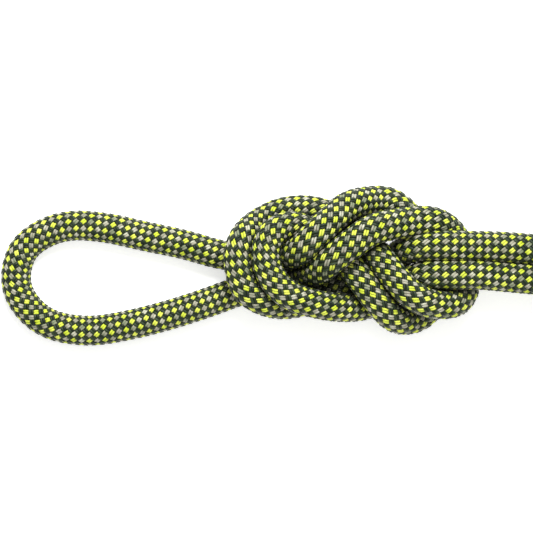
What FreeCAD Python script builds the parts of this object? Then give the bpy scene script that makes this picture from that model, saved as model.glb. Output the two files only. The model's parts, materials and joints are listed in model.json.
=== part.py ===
# Dynamic climbing rope, 9.8 mm kernmantle, 30 m, tied at one end with a figure eight on a bight.
# The bight eye lies to -X, the knot behind it, the short tail and the standing part run out to +X, and the rest of the
# rope is wound into a round coil held by three webbing ties.  The whole rope lies on the plane z = 0, +Z is up.
# A kernmantle rope is a braided sheath over a bundle of core strands, so every uncoiled stretch is a hollow sheath with
# the core strands and the tracer yarn inside it.  The coil is one closed solid of the outer shape of its wound turns.
import FreeCAD, Part
import math, os
from FreeCAD import Vector

doc = FreeCAD.newDocument("climbing_rope")
sheet = doc.addObject("Spreadsheet::Sheet", "dims")
DIMS = [
    ("rope_radius", 4.9, "outer radius of the free rope"),
    ("knot_radius", 4.6, "outer radius of the rope where the set knot squeezes it"),
    ("bore_radius", 3.72, "inside of the braided sheath"),
    ("strand_radius", 1.18, "one core strand"),
    ("strand_pitch", 2.42, "centre of the rope to the centre of an outer core strand"),
    ("tracer_radius", 0.3, "identification yarn between the core and the sheath"),
    ("tracer_pitch", 3.3, "centre of the rope to the tracer yarn"),
    ("sleeve_radius", 5.2, "outside of the shrunk end sleeves"),
    ("sleeve_bore", 4.92, "inside of the end sleeves"),
    ("cap_thickness", 3.0, "fused end: how far the melted tip stands out of the sheath"),
    ("cap_rounding", 1.3, "rounding of the melted tip"),
    ("coil_radius", 102.1, "coil axis to the middle of the turns"),
    ("coil_half_width", 35.5, "half the radial width of the wound turns"),
    ("coil_bottom", 1.8, "underside of the coil, which lies on its ties"),
    ("coil_height", 61.2, "height of the wound turns"),
    ("coil_rounding", 8.0, "rounding of the coil's section"),
    ("stub_radius", 4.9, "the rope where it runs into and out of the coil"),
    ("tie_width", 22.0, "webbing of the coil ties"),
    ("tie_gap", 0.2, "slack between the ties and the turns"),
    ("tie_thickness", 1.6, "thickness of the webbing"),
    ("tie_rounding", 8.0, "bend of the webbing at the coil's edges"),
    ("coil_x", 102.27, "coil axis"),
    ("coil_y", 11.67, "coil axis"),
]
for i, (alias, value, note) in enumerate(DIMS, 1):
    sheet.set("A%d" % i, note)
    sheet.set("B%d" % i, str(value))
    sheet.setAlias("B%d" % i, alias)
doc.recompute()


def dim(alias):
    return float(sheet.get(alias))


# The route: from the tail's end, through the knot, round the bight eye, back through the knot and out to the coil.
ROUTE = [
    (63.77, -145.83, 5.25),
    (50.77, -141.83, 5.25),
    (36.77, -134.33, 5.25),
    (22.77, -124.83, 5.05),
    (9.77, -115.33, 5.00),
    (-3.23, -107.33, 5.00),
    (-17.24, -101.60, 5.70),
    (-30.80, -97.54, 7.30),
    (-44.49, -94.90, 9.80),
    (-58.71, -93.64, 12.40),
    (-70.89, -92.57, 13.90),
    (-78.84, -91.87, 14.95),
    (-89.46, -92.06, 15.22),
    (-97.28, -92.49, 13.31),
    (-103.58, -96.17, 6.60),
    (-112.20, -100.91, 4.90),
    (-119.31, -104.25, 7.88),
    (-130.25, -103.90, 14.42),
    (-143.45, -99.35, 17.83),
    (-150.07, -91.14, 18.00),
    (-150.73, -82.66, 17.24),
    (-147.56, -76.93, 15.44),
    (-141.57, -75.12, 13.11),
    (-134.78, -77.74, 10.52),
    (-126.08, -83.84, 8.95),
    (-120.41, -90.71, 14.30),
    (-113.23, -100.52, 15.95),
    (-106.88, -106.54, 12.25),
    (-101.46, -107.75, 6.93),
    (-95.79, -104.95, 4.90),
    (-92.55, -98.31, 4.90),
    (-91.81, -90.29, 4.90),
    (-95.96, -81.53, 4.90),
    (-101.95, -71.82, 4.90),
    (-108.35, -67.27, 4.90),
    (-115.14, -66.86, 6.59),
    (-122.82, -69.06, 12.92),
    (-129.54, -74.76, 18.75),
    (-134.65, -79.65, 20.60),
    (-138.81, -84.07, 18.10),
    (-143.03, -85.78, 11.27),
    (-151.53, -86.00, 4.96),
    (-164.23, -86.35, 4.90),
    (-177.86, -82.09, 4.90),
    (-191.55, -79.36, 4.90),
    (-205.14, -76.11, 4.90),
    (-219.44, -75.13, 4.90),
    (-231.90, -81.27, 4.90),
    (-235.79, -90.67, 4.90),
    (-234.32, -100.00, 4.90),
    (-225.65, -109.01, 4.90),
    (-211.19, -111.44, 4.90),
    (-197.37, -109.15, 4.90),
    (-183.79, -105.73, 4.90),
    (-170.52, -101.49, 4.90),
    (-157.01, -96.67, 4.90),
    (-145.51, -94.68, 4.90),
    (-137.88, -92.30, 6.19),
    (-132.46, -90.83, 13.95),
    (-129.00, -87.43, 19.87),
    (-123.16, -83.16, 21.08),
    (-114.93, -77.05, 19.55),
    (-103.40, -73.99, 15.25),
    (-94.55, -73.34, 13.60),
    (-87.81, -76.88, 7.26),
    (-83.89, -84.77, 4.91),
    (-82.17, -92.86, 4.90),
    (-83.20, -98.77, 7.18),
    (-86.75, -102.21, 11.76),
    (-94.64, -102.32, 16.52),
    (-101.87, -98.85, 19.42),
    (-107.48, -92.46, 18.12),
    (-113.93, -83.53, 12.22),
    (-120.67, -76.92, 4.91),
    (-131.58, -70.14, 4.90),
    (-144.17, -69.89, 4.90),
    (-154.39, -75.12, 6.93),
    (-158.94, -80.47, 13.02),
    (-160.22, -87.12, 15.01),
    (-158.21, -96.51, 14.98),
    (-152.80, -101.61, 13.43),
    (-144.16, -103.88, 8.19),
    (-133.19, -100.77, 4.90),
    (-121.41, -94.27, 4.90),
    (-112.45, -90.44, 4.90),
    (-106.29, -87.06, 5.47),
    (-101.88, -83.89, 12.27),
    (-93.88, -82.70, 16.21),
    (-81.55, -82.47, 15.33),
    (-71.39, -82.57, 14.50),
    (-58.91, -83.61, 12.60),
    (-44.67, -84.56, 9.90),
    (-31.04, -87.44, 7.30),
    (-18.23, -89.93, 5.70),
    (-5.23, -92.93, 5.20),
    (10.27, -97.93, 5.60),
]
CUTS = (10, 42, 55, 89)  # runs at whose middle the rope enters and leaves the knot
CX, CY = dim("coil_x"), dim("coil_y")


def polar(radius, degrees, z):
    a = math.radians(degrees)
    return (CX + radius * math.cos(a), CY + radius * math.sin(a), z)


# The far end of the rope lies over the top of the coil.
FAR = [
    polar(72.2, 268, 68.3),
    polar(73.4, 278, 68.3),
    polar(77.8, 288, 68.3),
    polar(85.0, 297.5, 68.3),
    polar(94.5, 305.5, 68.3),
    polar(104.5, 313.0, 68.3),
]
FAR_STUB = polar(71.8, 240, 57.0)  # inside the coil's innermost top turn
LEAD_STUB = polar(135.3, 244, 6.7)  # inside the coil's outermost bottom turn


def path(points):
    """Straight runs joined by tangent arcs, as (edge, kind) in order, with the radius of each arc."""
    pts = [Vector(*p) for p in points]
    runs = [(b - a).Length for a, b in zip(pts, pts[1:])]
    edges, radii, start = [], [], pts[0]
    for i in range(1, len(pts) - 1):
        u = (pts[i] - pts[i - 1]).normalize()
        w = (pts[i + 1] - pts[i]).normalize()
        turn = u.getAngle(w)
        back = 0.45 * min(runs[i - 1], runs[i])
        radius = back / math.tan(turn / 2)
        a = pts[i] - u * back
        b = pts[i] + w * back
        toward = (w - u).normalize()
        middle = pts[i] + toward * (radius / math.cos(turn / 2) - radius)
        edges.append(("run", i - 1, start, a))
        edges.append(("arc", i, a, middle, b))
        radii.append(radius)
        start = b
    edges.append(("run", len(pts) - 2, start, pts[-1]))
    return edges, radii


def span(edges, first_run=None, last_run=None):
    """The wire between the middles of two runs; None is the route's own end."""
    out, on = [], first_run is None
    for e in edges:
        if e[0] == "run":
            mid = None
            if e[1] == first_run or e[1] == last_run:
                mid = (e[2] + e[3]) * 0.5
            if e[1] == first_run:
                out.append(Part.LineSegment(mid, e[3]).toShape())
                on = True
                continue
            if e[1] == last_run:
                out.append(Part.LineSegment(e[2], mid).toShape())
                return Part.Wire(out)
            if on:
                out.append(Part.LineSegment(e[2], e[3]).toShape())
        elif on:
            out.append(Part.Arc(e[2], e[3], e[4]).toShape())
    return Part.Wire(out)


main_edges, main_radii = path(ROUTE)
far_edges, far_radii = path(FAR)
print("route radii, mm:", " ".join("%.1f" % r for r in main_radii))
print("far end radii, mm:", " ".join("%.1f" % r for r in far_radii))

A, B, C, D = CUTS
TAIL_SLEEVE = 2   # the sleeve reaches from the tail's end to the middle of this run
FAR_SLEEVE = 2
SPANS = {
    "tail": span(main_edges, None, A),
    "first_pass": span(main_edges, A, B),
    "bight": span(main_edges, B, C),
    "second_pass": span(main_edges, C, D),
    "standing": span(main_edges, D, None),
    "whole": span(main_edges),
    "far_end": span(far_edges),
    "tail_sleeve": span(main_edges, None, TAIL_SLEEVE),
    "far_sleeve": span(far_edges, FAR_SLEEVE, None),
}
SPINES = {}
for key, wire in SPANS.items():
    spine = doc.addObject("Part::Feature", "spine_" + key)
    spine.Shape = wire
    SPINES[key] = spine


def start_frame(wire):
    """Position and rotation at the start of a wire: local Z along the rope, local X level."""
    e = wire.Edges[0]
    p = e.valueAt(e.FirstParameter)
    z = e.tangentAt(e.FirstParameter)
    x = Vector(0, 0, 1).cross(z).normalize()
    return p, FreeCAD.Rotation(x, z.cross(x), z, "ZXY")


def sweep(name, key, alias, pitch=None, degrees=0.0):
    """A round bar along a spine: radius from the sheet, pitch circle too when it lies off the rope's centre."""
    wire = SPANS[key]
    p, rot = start_frame(wire)
    ring = doc.addObject("Part::Circle", name + "_profile")
    ring.setExpression("Radius", "dims." + alias)
    off = dim(pitch) if pitch else 0.0
    a = math.radians(degrees)
    ring.Placement = FreeCAD.Placement(p + rot.multVec(Vector(off * math.cos(a), off * math.sin(a), 0)), rot)
    s = doc.addObject("Part::Sweep", name)
    s.Sections = [ring]
    s.Spine = (SPINES[key], ["Edge%d" % (i + 1) for i in range(len(wire.Edges))])
    s.Solid = True
    s.Frenet = False
    return s


NODES = []


def node(obj, label):
    obj.Label = label
    NODES.append(obj)
    return obj


def hollow(label, key, outer, inner):
    o = sweep(label + "_outside", key, outer)
    i = sweep(label + "_bore", key, inner)
    cut = doc.addObject("Part::Cut", label)
    cut.Base, cut.Tool = o, i
    return node(cut, label)


# The braided sheath, one length of rope in five stretches.
hollow("sheath_tail", "tail", "rope_radius", "bore_radius")
hollow("sheath_knot_first_pass", "first_pass", "knot_radius", "bore_radius")
hollow("sheath_bight", "bight", "rope_radius", "bore_radius")
hollow("sheath_knot_second_pass", "second_pass", "knot_radius", "bore_radius")
hollow("sheath_standing", "standing", "rope_radius", "bore_radius")
hollow("sheath_far_end", "far_end", "rope_radius", "bore_radius")

# The core: one strand in the middle and six around it, each in one length from the tail's end to the coil.
node(sweep("core_strand_centre", "whole", "strand_radius"), "core_strand_centre")
for n in range(6):
    label = "core_strand_%d" % (n + 1)
    node(sweep(label, "whole", "strand_radius", "strand_pitch", 60.0 * n), label)
# The tracer yarn lies in the groove between two core strands, under the sheath.
node(sweep("tracer_yarn", "whole", "tracer_radius", "tracer_pitch", 30.0), "tracer_yarn")
# The same bundle in the far end.
bundle = [sweep("far_core_centre", "far_end", "strand_radius")]
bundle += [sweep("far_core_%d" % (n + 1), "far_end", "strand_radius", "strand_pitch", 60.0 * n) for n in range(6)]
group = doc.addObject("Part::Compound", "core_far_end")
group.Links = bundle
node(group, "core_far_end")

# End sleeves, shrunk over the last stretch of each end.
hollow("end_sleeve_tail", "tail_sleeve", "sleeve_radius", "sleeve_bore")
hollow("end_sleeve_far", "far_sleeve", "sleeve_radius", "sleeve_bore")


# Fused ends: the melted tip of sheath and core, a short rounded button.
def cap(label, tip, back):
    out = (Vector(*tip) - Vector(*back)).normalize()
    disc = doc.addObject("Part::Cylinder", label + "_disc")
    disc.setExpression("Radius", "dims.rope_radius")
    disc.setExpression("Height", "dims.cap_thickness")
    x = Vector(0, 0, 1).cross(out).normalize()
    disc.Placement = FreeCAD.Placement(Vector(*tip), FreeCAD.Rotation(x, out.cross(x), out, "ZXY"))
    doc.recompute()
    rim = doc.addObject("Part::Fillet", label)
    rim.Base = disc
    far = max(range(len(disc.Shape.Edges)), key=lambda i: (disc.Shape.Edges[i].CenterOfMass - Vector(*tip)).dot(out)
              if disc.Shape.Edges[i].Closed else -1e9)
    rim.Edges = [(far + 1, dim("cap_rounding"), dim("cap_rounding"))]
    return node(rim, label)


cap("end_cap_tail", ROUTE[0], ROUTE[1])
cap("end_cap_far", FAR[-1], FAR[-2])


# The coil: a rounded ring, with the rope's lead-in and its way out to the far end.
def ring(name, grow, bottom, height, rounding):
    o = doc.addObject("Part::Cylinder", name + "_outer")
    o.setExpression("Radius", "dims.coil_radius + dims.coil_half_width + " + grow)
    o.setExpression("Height", height)
    h = doc.addObject("Part::Cylinder", name + "_hole")
    h.setExpression("Radius", "dims.coil_radius - dims.coil_half_width - (" + grow + ")")
    h.setExpression("Height", height)
    for part in (o, h):
        part.setExpression("Placement.Base.x", "dims.coil_x")
        part.setExpression("Placement.Base.y", "dims.coil_y")
        part.setExpression("Placement.Base.z", bottom)
    c = doc.addObject("Part::Cut", name + "_square")
    c.Base, c.Tool = o, h
    doc.recompute()
    f = doc.addObject("Part::Fillet", name)
    f.Base = c
    f.Edges = [(i + 1, dim(rounding), dim(rounding)) for i, e in enumerate(c.Shape.Edges) if e.Closed]
    return f


def stub(name, inside, outside):
    a, b = Vector(*inside), Vector(*outside)
    out = (b - a).normalize()
    x = Vector(0, 0, 1).cross(out).normalize()
    c = doc.addObject("Part::Cylinder", name)
    c.setExpression("Radius", "dims.stub_radius")
    c.Height = (b - a).Length
    c.Placement = FreeCAD.Placement(a, FreeCAD.Rotation(x, out.cross(x), out, "ZXY"))
    return c


turns = ring("coil_turns", "0", "dims.coil_bottom", "dims.coil_height", "coil_rounding")
lead = stub("coil_lead_in", LEAD_STUB, ROUTE[-1])
away = stub("coil_way_out", FAR_STUB, FAR[0])
coil = doc.addObject("Part::MultiFuse", "rope_coil")
coil.Shapes = [turns, lead, away]
node(coil, "rope_coil")

# Coil ties: webbing bands round the coil's section.
tie_out = ring("tie_outside", "dims.tie_gap + dims.tie_thickness", "dims.coil_bottom - dims.tie_gap - dims.tie_thickness",
               "dims.coil_height + 2 * dims.tie_gap + 2 * dims.tie_thickness", "tie_rounding")
tie_in = ring("tie_inside", "dims.tie_gap", "dims.coil_bottom - dims.tie_gap", "dims.coil_height + 2 * dims.tie_gap",
              "coil_rounding")
band = doc.addObject("Part::Cut", "tie_band")
band.Base, band.Tool = tie_out, tie_in
for n, angle in enumerate((95.0, 215.0, 335.0)):
    label = "coil_tie_%d" % (n + 1)
    block = doc.addObject("Part::Box", label + "_block")
    block.setExpression("Width", "dims.tie_width")
    block.setExpression("Length", "dims.coil_radius + dims.coil_half_width + 10")
    block.setExpression("Height", "dims.coil_height + 20")
    a = math.radians(angle)
    half = dim("tie_width") / 2
    block.Placement = FreeCAD.Placement(
        Vector(CX + half * math.sin(a), CY - half * math.cos(a), -5), FreeCAD.Rotation(Vector(0, 0, 1), angle))
    tie = doc.addObject("Part::Common", label)
    tie.Base, tie.Tool = band, block
    node(tie, label)

doc.recompute()

failed = [o.Label for o in doc.Objects if "Invalid" in o.State or "Error" in o.State]
if failed:
    raise RuntimeError("failed objects: " + ", ".join(failed))
for obj in NODES:
    s = obj.Shape
    if s.isNull() or not s.isValid() or not s.Solids:
        raise RuntimeError(obj.Label + " has no valid solid")


# Each swept piece is compared with its section times its length.
def expect(label, area, key, share=0.01):
    got = next(o for o in NODES if o.Label == label).Shape.Volume
    want = area * SPANS[key].Length
    if abs(got - want) > share * want:
        raise RuntimeError("%s: volume %.0f, section times length %.0f" % (label, got, want))


def ring_area(outer, inner):
    return math.pi * (dim(outer) ** 2 - dim(inner) ** 2)


for label, key, outer in (("sheath_tail", "tail", "rope_radius"), ("sheath_knot_first_pass", "first_pass", "knot_radius"),
                          ("sheath_bight", "bight", "rope_radius"), ("sheath_knot_second_pass", "second_pass", "knot_radius"),
                          ("sheath_standing", "standing", "rope_radius"), ("sheath_far_end", "far_end", "rope_radius")):
    expect(label, ring_area(outer, "bore_radius"), key)
expect("core_strand_centre", math.pi * dim("strand_radius") ** 2, "whole")
for n in range(6):
    expect("core_strand_%d" % (n + 1), math.pi * dim("strand_radius") ** 2, "whole", 0.05)

print("uncoiled length, mm: %.1f, far end %.1f" % (SPANS["whole"].Length, SPANS["far_end"].Length))
for key in ("tail", "first_pass", "bight", "second_pass", "standing"):
    print("  %s %.1f" % (key, SPANS[key].Length))
whole = FreeCAD.BoundBox()
for obj in NODES:
    whole.add(obj.Shape.BoundBox)
    print(obj.Label, "solids", len(obj.Shape.Solids), "volume %.0f" % obj.Shape.Volume)
print("box", whole)
os.makedirs("parts", exist_ok=True)
for obj in NODES:
    obj.Shape.exportStep("parts/%s.step" % obj.Label)
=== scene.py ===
# Dynamic climbing rope: a figure eight on a bight, its tail, and the rest of 30 m wound into a coil.
import json
import math
import bpy
import numpy as np
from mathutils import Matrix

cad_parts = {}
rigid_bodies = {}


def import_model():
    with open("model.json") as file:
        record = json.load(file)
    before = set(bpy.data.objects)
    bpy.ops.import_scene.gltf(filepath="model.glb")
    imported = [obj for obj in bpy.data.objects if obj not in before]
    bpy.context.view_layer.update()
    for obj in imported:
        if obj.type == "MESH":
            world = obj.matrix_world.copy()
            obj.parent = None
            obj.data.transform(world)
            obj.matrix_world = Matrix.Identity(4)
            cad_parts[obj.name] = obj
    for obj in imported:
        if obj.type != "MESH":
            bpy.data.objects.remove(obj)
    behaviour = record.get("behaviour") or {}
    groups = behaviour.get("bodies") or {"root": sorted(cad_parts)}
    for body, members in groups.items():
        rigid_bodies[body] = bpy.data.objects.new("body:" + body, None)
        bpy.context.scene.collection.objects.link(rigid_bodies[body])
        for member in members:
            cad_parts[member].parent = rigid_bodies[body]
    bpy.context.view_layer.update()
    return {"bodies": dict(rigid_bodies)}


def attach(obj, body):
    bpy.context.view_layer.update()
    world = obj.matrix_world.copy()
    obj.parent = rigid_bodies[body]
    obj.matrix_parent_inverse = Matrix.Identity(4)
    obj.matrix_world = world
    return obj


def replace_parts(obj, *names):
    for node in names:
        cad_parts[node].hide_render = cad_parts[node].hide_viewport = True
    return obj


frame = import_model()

BODY = list(frame["bodies"])[0]

# ------------------------------------------------------------------ sizes, metres
LEAD = 0.0312         # one turn of a carrier round the rope, along it
CARRIERS = 12         # carriers each way round
PITCH = LEAD / CARRIERS
OX, OY = 150.23, 89.33   # middle of the photographed view in the row frame, mm, with the sign turned
CX, CY = 102.27, 11.67   # coil axis, mm
COIL_R = 101.4        # coil axis to the middle of its turns
SIDE = 10.1           # a turn to the next one beside it
LAYER = 8.55          # a layer of turns to the next one on it
BOTTOM = 6.7          # middle of the lowest layer

# the same route as in the CAD model, mm
ROUTE = [
    (63.77, -145.83, 5.25),
    (50.77, -141.83, 5.25),
    (36.77, -134.33, 5.25),
    (22.77, -124.83, 5.05),
    (9.77, -115.33, 5.00),
    (-3.23, -107.33, 5.00),
    (-17.24, -101.60, 5.70),
    (-30.80, -97.54, 7.30),
    (-44.49, -94.90, 9.80),
    (-58.71, -93.74, 12.40),
    (-70.89, -92.62, 13.90),
    (-78.84, -91.82, 14.95),
    (-89.46, -91.86, 15.22),
    (-97.28, -91.99, 13.31),
    (-103.58, -95.62, 6.60),
    (-112.20, -100.91, 4.90),
    (-119.31, -103.40, 7.88),
    (-130.25, -103.00, 14.42),
    (-143.45, -99.35, 17.83),
    (-150.07, -91.14, 18.00),
    (-150.73, -82.66, 17.24),
    (-147.56, -76.93, 15.44),
    (-141.57, -75.12, 13.11),
    (-134.78, -77.74, 10.52),
    (-126.08, -83.84, 8.95),
    (-120.41, -90.71, 14.30),
    (-113.23, -100.52, 15.95),
    (-107.83, -106.89, 12.25),
    (-101.96, -108.00, 6.93),
    (-95.79, -104.95, 4.90),
    (-92.55, -98.31, 4.90),
    (-91.81, -90.29, 4.90),
    (-96.31, -81.53, 4.90),
    (-102.35, -71.82, 4.90),
    (-108.35, -67.17, 4.90),
    (-115.14, -67.11, 6.59),
    (-123.17, -68.76, 12.92),
    (-129.54, -74.76, 18.75),
    (-134.65, -79.65, 20.60),
    (-138.81, -84.07, 18.10),
    (-143.03, -85.78, 11.27),
    (-151.53, -86.00, 4.96),
    (-164.23, -86.05, 4.90),
    (-177.86, -81.79, 4.90),
    (-191.55, -79.11, 4.90),
    (-205.14, -75.86, 4.90),
    (-219.44, -75.03, 4.90),
    (-231.90, -81.27, 4.90),
    (-235.79, -90.67, 4.90),
    (-234.32, -100.00, 4.90),
    (-225.65, -109.01, 4.90),
    (-211.19, -111.69, 4.90),
    (-197.37, -109.45, 4.90),
    (-183.79, -106.03, 4.90),
    (-170.52, -101.74, 4.90),
    (-157.01, -96.67, 4.90),
    (-145.51, -94.68, 4.90),
    (-137.88, -92.30, 6.19),
    (-132.46, -90.83, 13.95),
    (-129.00, -87.43, 19.87),
    (-123.16, -82.96, 21.08),
    (-114.93, -76.55, 19.55),
    (-103.40, -74.44, 15.25),
    (-94.55, -73.64, 13.60),
    (-87.81, -76.88, 7.26),
    (-83.89, -84.77, 4.91),
    (-82.17, -92.86, 4.90),
    (-83.20, -98.77, 7.18),
    (-86.75, -102.21, 11.76),
    (-94.64, -102.32, 16.52),
    (-101.87, -98.85, 19.42),
    (-107.48, -92.46, 18.12),
    (-113.93, -83.53, 12.22),
    (-120.67, -76.92, 4.91),
    (-131.58, -70.14, 4.90),
    (-144.17, -69.89, 4.90),
    (-154.39, -75.12, 6.93),
    (-158.94, -80.47, 13.02),
    (-160.22, -87.12, 15.01),
    (-158.21, -96.51, 14.98),
    (-152.80, -100.86, 13.43),
    (-144.16, -102.88, 8.19),
    (-133.19, -100.07, 4.90),
    (-121.41, -94.27, 4.90),
    (-112.45, -90.44, 4.90),
    (-106.69, -86.31, 5.47),
    (-102.08, -83.04, 12.27),
    (-93.88, -82.20, 16.21),
    (-81.55, -82.59, 15.33),
    (-71.39, -82.72, 14.50),
    (-58.91, -83.73, 12.60),
    (-44.67, -84.56, 9.90),
    (-31.04, -87.44, 7.30),
    (-18.23, -89.93, 5.70),
    (-5.23, -92.93, 5.20),
    (10.27, -97.93, 5.60),
]


def polar(radius, degrees, z):
    a = math.radians(degrees)
    return (CX + radius * math.cos(a), CY + radius * math.sin(a), z)


def ease(x):
    x = min(1.0, max(0.0, x))
    return x * x * x * (10 - 15 * x + 6 * x * x)


def coil_points():
    """Control points of the turns: flat layers of seven and six turns, wound inward and outward in turn, each turn a
    circle that steps to the next one under the tie at 215 degrees."""
    counts = [7, 6, 7, 6, 7, 6, 7]
    seats = []
    for k, n in enumerate(counts):
        for t in range(n):
            r = COIL_R + 3 * SIDE - t * SIDE if k % 2 == 0 else COIL_R - 2.5 * SIDE + t * SIDE
            seats.append((r, BOTTOM + k * LAYER))
    rng = np.random.default_rng(7)
    wob = [(rng.uniform(0, 6.28), rng.uniform(-0.32, 0.32), rng.uniform(-0.16, 0.16)) for _ in seats]
    first, last = 253.0, 230.0 + 360.0 * 45 + 2.0
    angles = [235.3, 241.0, 247.0, 254.0, 264.0, 280.0]
    a = 300.0
    while a < last:
        angles.append(a)
        a += 22.5
    angles.append(last)
    pts = []
    for a in angles:
        n = int((a - 230.0) // 360.0)
        b = (a - 230.0) % 360.0
        r, z = seats[n]
        dr = wob[n][1] * math.sin(math.radians(b) + wob[n][0])
        dz = wob[n][2] * math.sin(2 * math.radians(b) + wob[n][0])
        if b > 330.0 and n + 1 < len(seats):
            f = ease((b - 330.0) / 30.0)
            r += (seats[n + 1][0] - r) * f
            z += (seats[n + 1][1] - z) * f
        fade = min(1.0, b / 40.0, (330.0 - b) / 40.0 if b < 330.0 else 0.0)
        r += dr * max(0.0, fade)
        z += dz * max(0.0, fade) if n > 6 else 0.0
        if a < 254.5:
            x = (a - 229.9) / 24.6
            r += 10.6 * (1 - x) ** 2
            z = 5.6 + (z - 5.6) * x
            pts.append(polar(r, a, z))
        elif a < 290:
            pts.append(polar(r * 1.004, a, z))
        else:
            pts.append(polar(r / 0.981, a, z))
    return pts


FAR = [polar(71.9, 240.0, 59.6), polar(71.9, 248.0, 62.6), polar(71.9, 257.5, 66.8), polar(72.2, 268, 68.3),
       polar(73.4, 278, 68.3), polar(77.8, 288, 68.3), polar(85.0, 297.5, 68.3), polar(94.5, 305.5, 68.3),
       polar(104.5, 313.0, 68.3)]
# the braid's yarns stand a tenth of a millimetre proud of the rope's nominal radius, so it lies that much higher
LINE = [(x / 1000, y / 1000, z / 1000 + 0.00012) for x, y, z in ROUTE + coil_points() + FAR]


# ------------------------------------------------------------------ camera, light and floor
VIEW = 533 * 0.338 / 1000                       # width of the view at the rope
DISTANCE = 1.5
cam_data = bpy.data.cameras.new("camera")
cam_data.sensor_width = 36
cam_data.lens = 36 * (DISTANCE - 0.012) / VIEW
cam_data.clip_start, cam_data.clip_end = 0.05, 20
camera = bpy.data.objects.new("camera", cam_data)
camera.location = (-OX / 1000, -OY / 1000, DISTANCE)
bpy.context.scene.collection.objects.link(camera)
bpy.context.scene.camera = camera


def area(name, at, size, power, aim, colour=(1, 1, 1)):
    data = bpy.data.lights.new(name, "AREA")
    data.shape, data.size, data.energy, data.color = "DISK", size, power, colour
    o = bpy.data.objects.new(name, data)
    o.location = at
    v = np.array(aim) - np.array(at)
    from mathutils import Vector
    o.rotation_euler = Vector(v).to_track_quat("-Z", "Y").to_euler()
    bpy.context.scene.collection.objects.link(o)
    return o


KX, KY = -OX / 1000, -OY / 1000
area("key", (KX + 0.08, KY + 0.68, 0.92), 0.55, 13.2, (KX + 0.03, KY, 0.01))
area("fill", (KX + 0.7, KY - 0.5, 0.9), 0.9, 1.2, (KX + 0.05, KY, 0.01))
area("top", (KX + 0.1, KY + 0.05, 1.35), 0.8, 1.5, (KX + 0.05, KY, 0.0))
world = bpy.data.worlds.new("studio")
world.use_nodes = True
world.node_tree.nodes["Background"].inputs["Color"].default_value = (1, 1, 1, 1)
world.node_tree.nodes["Background"].inputs["Strength"].default_value = 0.42
bpy.context.scene.world = world
bpy.context.scene.view_settings.view_transform = "Standard"

floor_mesh = bpy.data.meshes.new("floor")
floor_mesh.from_pydata([(-6, -6, 0), (6, -6, 0), (6, 6, 0), (-6, 6, 0)], [], [(0, 1, 2, 3)])
floor = bpy.data.objects.new("floor", floor_mesh)
bpy.context.scene.collection.objects.link(floor)
fm = bpy.data.materials.new("floor")
fm.use_nodes = True
fm.node_tree.nodes["Principled BSDF"].inputs["Base Color"].default_value = (0.93, 0.93, 0.93, 1)
fm.node_tree.nodes["Principled BSDF"].inputs["Roughness"].default_value = 0.9
fm.node_tree.nodes["Principled BSDF"].inputs["Emission Color"].default_value = (1, 1, 1, 1)
fm.node_tree.nodes["Principled BSDF"].inputs["Emission Strength"].default_value = 0.58    # a lit photographer's table
floor_mesh.materials.append(fm)


# ------------------------------------------------------------------ materials
def colour(c):
    return tuple(c) + (1.0,)


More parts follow.
